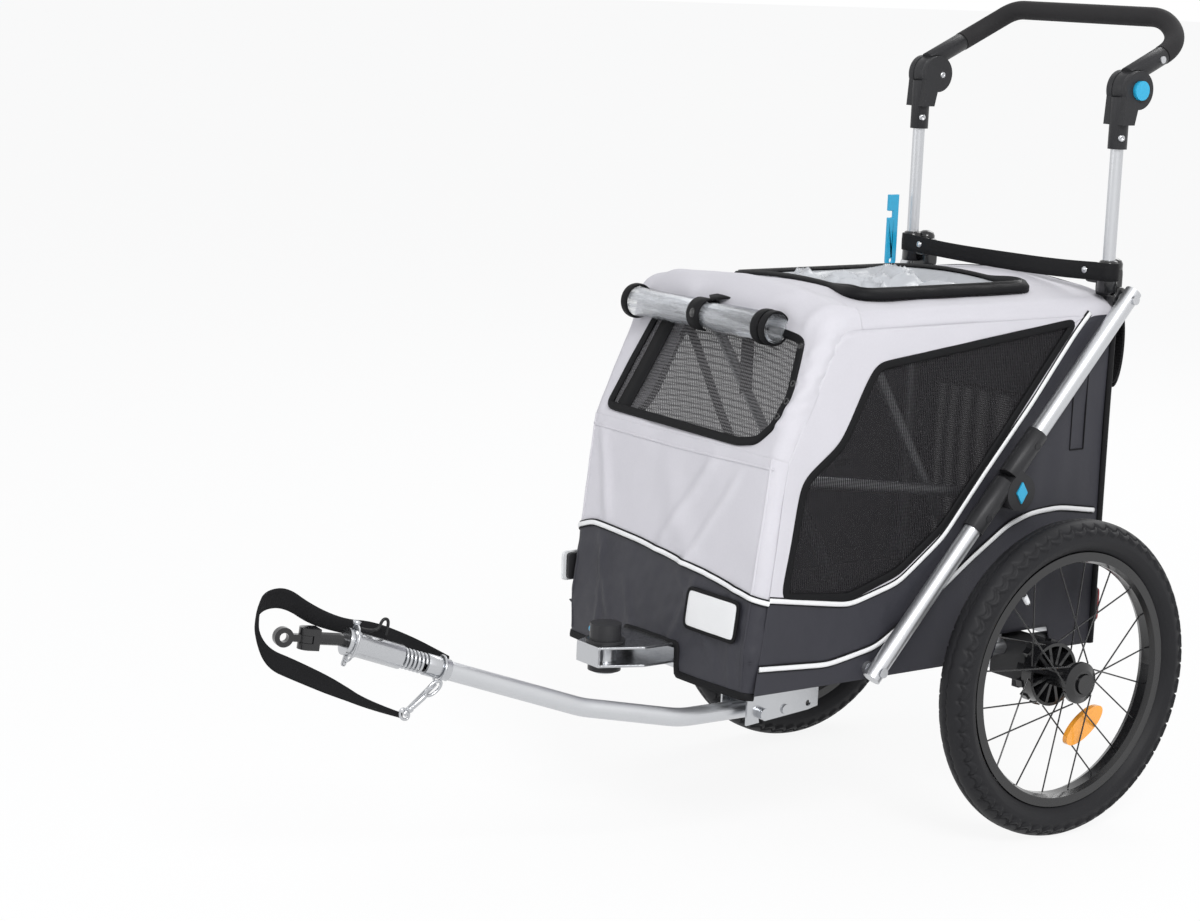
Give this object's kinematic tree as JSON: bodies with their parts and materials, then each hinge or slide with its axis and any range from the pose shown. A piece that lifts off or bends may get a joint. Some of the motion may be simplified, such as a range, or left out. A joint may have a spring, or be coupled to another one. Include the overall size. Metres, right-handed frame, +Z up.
{
  "type": "pet bicycle trailer",
  "caption": "Folding pet trailer for a bicycle: fabric cabin with mesh windows on a tube frame, spoked wheels, tow arm with hitch coupler and safety strap, tilting push handle.",
  "frame": {"origin": "on the ground under the middle of the whole trailer's bounding box", "axes": "+Z up, +Y towards the push handle at the rear, +X towards the trailer's left side, seen from above with the tow arm pointing along -Y"},
  "size_m": [0.588, 1.2602, 1.0202],
  "materials": {
    "silver_tube": "satin",
    "steel": "satin",
    "black_plastic": "matte",
    "black_metal": "gloss",
    "blue_plastic": "gloss",
    "light_fabric": "matte",
    "charcoal_fabric": "matte",
    "mesh": "matte",
    "clear_film": "gloss",
    "reflective": "satin",
    "webbing": "matte",
    "tyre": "matte",
    "foam": "matte",
    "amber": "gloss",
    "board": "matte"
  },
  "bodies": {
    "trailer": {"floor_frame": "silver_tube", "axle": "steel", "axle_receivers": "black_plastic", "floor_panel": "board", "tow_bracket": "steel", "wheel_socket": "steel", "socket_caps": "black_plastic", "front_panel": "charcoal_fabric", "hood": "light_fabric", "window_meshes": "mesh", "rolled_covers": "clear_film", "side_wall_left": "light_fabric", "side_wall_right": "light_fabric", "roof_panel": "light_fabric", "rear_panel": "charcoal_fabric", "reflective_trim": "reflective"},
    "rear_frame": {"rear_hoop": "silver_tube", "corner_brackets": "black_plastic", "cross_band": "webbing", "handle_posts": "silver_tube", "handle_sockets": "black_plastic"},
    "handle": {"handle_arms": "black_plastic", "handle_bar": "silver_tube", "handle_grip": "foam"},
    "handle_button_left": {"handle_button_left": "blue_plastic"},
    "handle_button_right": {"handle_button_right": "blue_plastic"},
    "fold_hook": {"fold_hook": "blue_plastic"},
    "lower_struts": {"lower_struts": "silver_tube", "lower_knuckles": "black_plastic"},
    "upper_struts": {"upper_struts": "silver_tube", "upper_knuckles": "black_plastic"},
    "strut_button_left": {"strut_button_left": "blue_plastic"},
    "strut_button_right": {"strut_button_right": "blue_plastic"},
    "front_hoop": {"front_hoop": "silver_tube"},
    "ledge_hoop": {"ledge_hoop": "silver_tube"},
    "wheel_left": {"tyre_left": "tyre", "rim_left": "black_metal", "hub_left": "black_plastic", "spokes_left": "steel", "wheel_reflector_left": "amber"},
    "wheel_right": {"tyre_right": "tyre", "rim_right": "black_metal", "hub_right": "black_plastic", "spokes_right": "steel", "wheel_reflector_right": "amber"},
    "axle_button_left": {"axle_button_left": "black_plastic"},
    "axle_button_right": {"axle_button_right": "black_plastic"},
    "parking_brake": {"parking_brake": "steel"},
    "tow_bar": {"tow_bar": "silver_tube", "hitch_socket": "steel", "tow_spring": "steel", "tether_fittings": "steel", "safety_strap": "webbing", "coupler_stem": "black_metal"},
    "tow_lock_pin": {"tow_lock_pin": "steel"},
    "coupler": {"axle_coupler": "black_metal"},
    "hitch_pin": {"hitch_pin": "black_metal"},
    "socket_button": {"socket_button": "blue_plastic"},
    "roof_flap": {"roof_flap": "clear_film"},
    "rear_door": {"rear_door": "mesh"}
  },
  "joints": [
    {"name": "frame_fold", "type": "hinge", "parent": "trailer", "child": "rear_frame", "pos_m": [0, 0.50069, 0.28], "axis": [-1, 0, 0], "range_deg": [-80, 0], "deforming": ["front_panel", "hood", "window_meshes", "rolled_covers", "side_wall_left", "side_wall_right", "roof_panel", "rear_panel", "reflective_trim", "roof_flap", "rear_door"]},
    {"name": "lower_strut_swing", "type": "hinge", "parent": "trailer", "child": "lower_struts", "pos_m": [0, 0.12869, 0.228], "axis": [-1, 0, 0], "range_deg": [-122.7, 0]},
    {"name": "strut_knuckle", "type": "hinge", "parent": "lower_struts", "child": "upper_struts", "pos_m": [0, 0.33868, 0.42997], "axis": [1, 0, 0], "range_deg": [-161.69, 0]},
    {"name": "front_hoop_swing", "type": "hinge", "parent": "trailer", "child": "front_hoop", "pos_m": [0, 0.36069, 0.246], "axis": [-1, 0, 0], "range_deg": [-48.2, 0]},
    {"name": "ledge_hoop_swing", "type": "hinge", "parent": "front_hoop", "child": "ledge_hoop", "pos_m": [0, 0.24372, 0.43273], "axis": [1, 0, 0], "range_deg": [-40.2, 0]},
    {"name": "handle_tilt", "type": "hinge", "parent": "rear_frame", "child": "handle", "pos_m": [0, 0.51469, 0.919], "axis": [1, 0, 0], "range_deg": [-70, 45]},
    {"name": "handle_button_left_press", "type": "slide", "parent": "rear_frame", "child": "handle_button_left", "axis": [-1, 0, 0], "range_m": [0, 0.003], "stiffness_N_per_m": 250},
    {"name": "handle_button_right_press", "type": "slide", "parent": "rear_frame", "child": "handle_button_right", "axis": [1, 0, 0], "range_m": [0, 0.003], "stiffness_N_per_m": 250},
    {"name": "fold_hook_swing", "type": "hinge", "parent": "rear_frame", "child": "fold_hook", "pos_m": [-0.187, 0.46469, 0.668], "axis": [1, 0, 0], "range_deg": [0, 90]},
    {"name": "strut_button_left_press", "type": "slide", "parent": "upper_struts", "child": "strut_button_left", "axis": [-1, 0, 0], "range_m": [0, 0.0025], "stiffness_N_per_m": 250},
    {"name": "strut_button_right_press", "type": "slide", "parent": "upper_struts", "child": "strut_button_right", "axis": [1, 0, 0], "range_m": [0, 0.0025], "stiffness_N_per_m": 250},
    {"name": "wheel_left_spin", "type": "hinge", "parent": "trailer", "child": "wheel_left", "pos_m": [0.257, 0.39069, 0.2], "axis": [1, 0, 0], "continuous": true},
    {"name": "wheel_right_spin", "type": "hinge", "parent": "trailer", "child": "wheel_right", "pos_m": [-0.257, 0.39069, 0.2], "axis": [1, 0, 0], "continuous": true},
    {"name": "axle_button_left_press", "type": "slide", "parent": "trailer", "child": "axle_button_left", "axis": [-1, 0, 0], "range_m": [0, 0.0025], "stiffness_N_per_m": 250},
    {"name": "axle_button_right_press", "type": "slide", "parent": "trailer", "child": "axle_button_right", "axis": [1, 0, 0], "range_m": [0, 0.0025], "stiffness_N_per_m": 250},
    {"name": "parking_brake_swing", "type": "hinge", "parent": "trailer", "child": "parking_brake", "pos_m": [0, 0.43569, 0.172], "axis": [1, 0, 0], "range_deg": [0, 22]},
    {"name": "tow_bar_swing", "type": "hinge", "parent": "trailer", "child": "tow_bar", "pos_m": [0.125, 0.03169, 0.181], "axis": [-1, 0, 0], "range_deg": [-70, 0]},
    {"name": "tow_lock_pin_pull", "type": "slide", "parent": "tow_bar", "child": "tow_lock_pin", "axis": [1, 0, 0], "range_m": [0, 0.062]},
    {"name": "coupler_swing", "type": "hinge", "parent": "tow_bar", "child": "coupler", "pos_m": [0.04309, -0.56607, 0.31396], "axis": [0.019, 0.1204, 0.9925], "range_deg": [-60, 60]},
    {"name": "hitch_pin_pull", "type": "slide", "parent": "tow_bar", "child": "hitch_pin", "axis": [0, 0.337, 0.9415], "range_m": [0, 0.036]},
    {"name": "socket_button_press", "type": "slide", "parent": "trailer", "child": "socket_button", "axis": [1, 0, 0], "range_m": [0, 0.003], "stiffness_N_per_m": 250},
    {"name": "roof_flap_swing", "type": "hinge", "parent": "trailer", "child": "roof_flap", "pos_m": [0, 0.40419, 0.67], "axis": [-1, 0, 0], "range_deg": [0, 110]},
    {"name": "rear_door_swing", "type": "hinge", "parent": "trailer", "child": "rear_door", "pos_m": [0, 0.51569, 0.2415], "axis": [-1, 0, 0], "range_deg": [0, 100]}
  ],
  "couplings": [
    {"joint": "lower_strut_swing", "follows": "frame_fold", "ratio": 1.5312},
    {"joint": "strut_knuckle", "follows": "frame_fold", "ratio": 2.0187},
    {"joint": "front_hoop_swing", "follows": "frame_fold", "ratio": 0.6},
    {"joint": "ledge_hoop_swing", "follows": "frame_fold", "ratio": 0.5}
  ]
}
